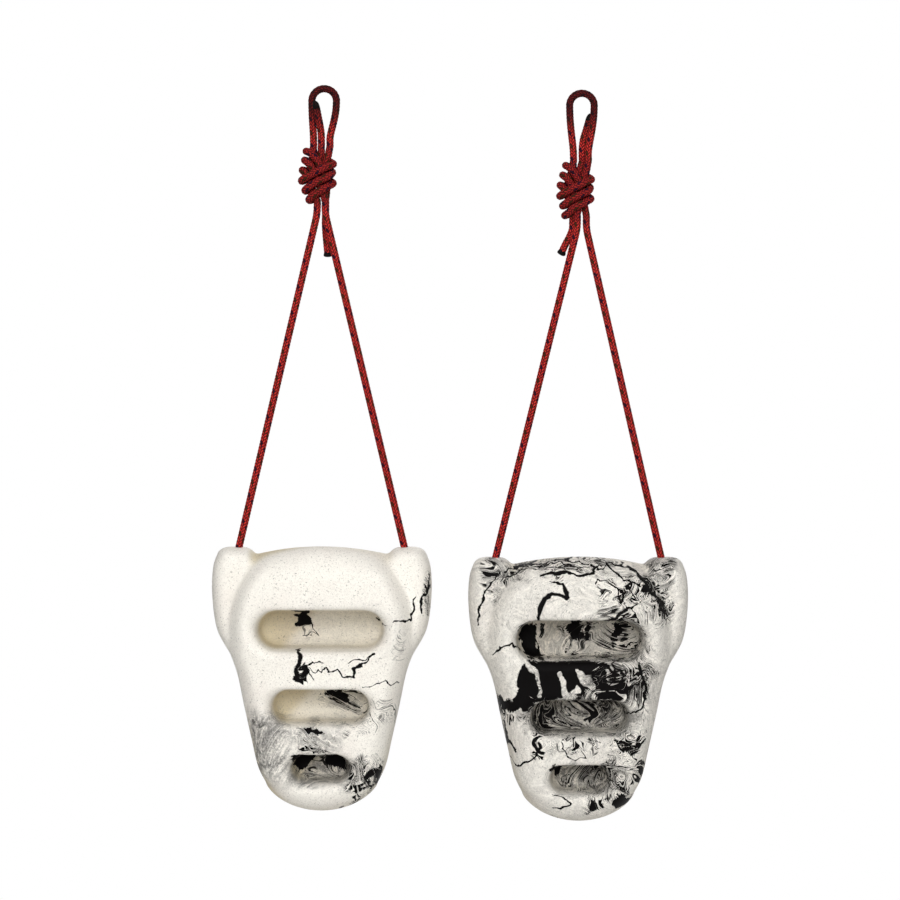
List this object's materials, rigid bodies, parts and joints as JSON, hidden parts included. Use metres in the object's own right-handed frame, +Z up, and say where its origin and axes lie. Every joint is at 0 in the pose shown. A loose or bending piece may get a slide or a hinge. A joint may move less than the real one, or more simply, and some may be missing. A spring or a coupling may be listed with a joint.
{
  "type": "hanging hangboard pair",
  "caption": "Pair of cast resin hanging training holds with a rounded jug and stacked finger pockets, each on a loop of cord tied in a bulky knot below an eye.",
  "frame": {"origin": "midway between the two cord eyes, at the height of the bar or hooks that hold them", "axes": "+Z up along the hanging cords, +X from the left hold to the right hold, +Y from the pockets to the flat backs"},
  "size_m": [0.342, 0.0569, 0.5273],
  "materials": {
    "pale_resin": "satin",
    "marbled_resin": "satin",
    "cord": "braided",
    "melted_end": "melted"
  },
  "bodies": {
    "eye_crowns": {"left_eye_crown": "cord", "right_eye_crown": "cord"},
    "left_eye": {"left_eye_strand_a": "cord", "left_eye_strand_b": "cord", "left_short_end": "cord", "left_short_end_tip": "melted_end"},
    "left_knot": {"left_knot_strand_a": "cord", "left_knot_strand_b": "cord", "left_knot_strand_c": "cord", "left_outer_cord_leg": "cord", "left_inner_cord_leg": "cord", "left_tail_end": "cord", "left_tail_end_tip": "melted_end"},
    "left_ring": {"left_ring_casting": "pale_resin", "left_cord_in_tunnel": "cord"},
    "right_eye": {"right_eye_strand_a": "cord", "right_eye_strand_b": "cord", "right_short_end": "cord", "right_short_end_tip": "melted_end"},
    "right_knot": {"right_knot_strand_a": "cord", "right_knot_strand_b": "cord", "right_knot_strand_c": "cord", "right_outer_cord_leg": "cord", "right_inner_cord_leg": "cord", "right_tail_end": "cord", "right_tail_end_tip": "melted_end"},
    "right_ring": {"right_ring_casting": "marbled_resin", "right_cord_in_tunnel": "cord"}
  },
  "joints": [
    {"name": "left_swing", "type": "hinge", "parent": "eye_crowns", "child": "left_eye", "pos_m": [-0.092, 0, -0.0063], "axis": [1, 0, 0], "range_deg": [-60, 60], "deforming": ["left_eye_crown"]},
    {"name": "left_swivel", "type": "hinge", "parent": "left_eye", "child": "left_knot", "pos_m": [-0.092, 0, -0.06], "axis": [0, 0, 1], "range_deg": [-90, 90], "deforming": ["left_eye_strand_a", "left_eye_strand_b", "left_short_end", "left_short_end_tip"]},
    {"name": "left_tilt", "type": "hinge", "parent": "left_knot", "child": "left_ring", "pos_m": [-0.092, 0, -0.3414], "axis": [0, 1, 0], "range_deg": [-10, 10], "deforming": ["left_outer_cord_leg", "left_inner_cord_leg"]},
    {"name": "right_swing", "type": "hinge", "parent": "eye_crowns", "child": "right_eye", "pos_m": [0.092, 0, -0.0096], "axis": [1, 0, 0], "range_deg": [-60, 60], "deforming": ["right_eye_crown"]},
    {"name": "right_swivel", "type": "hinge", "parent": "right_eye", "child": "right_knot", "pos_m": [0.092, 0, -0.0633], "axis": [0, 0, 1], "range_deg": [-90, 90], "deforming": ["right_eye_strand_a", "right_eye_strand_b", "right_short_end", "right_short_end_tip"]},
    {"name": "right_tilt", "type": "hinge", "parent": "right_knot", "child": "right_ring", "pos_m": [0.092, 0, -0.3484], "axis": [0, 1, 0], "range_deg": [-10, 10], "deforming": ["right_outer_cord_leg", "right_inner_cord_leg"]}
  ]
}
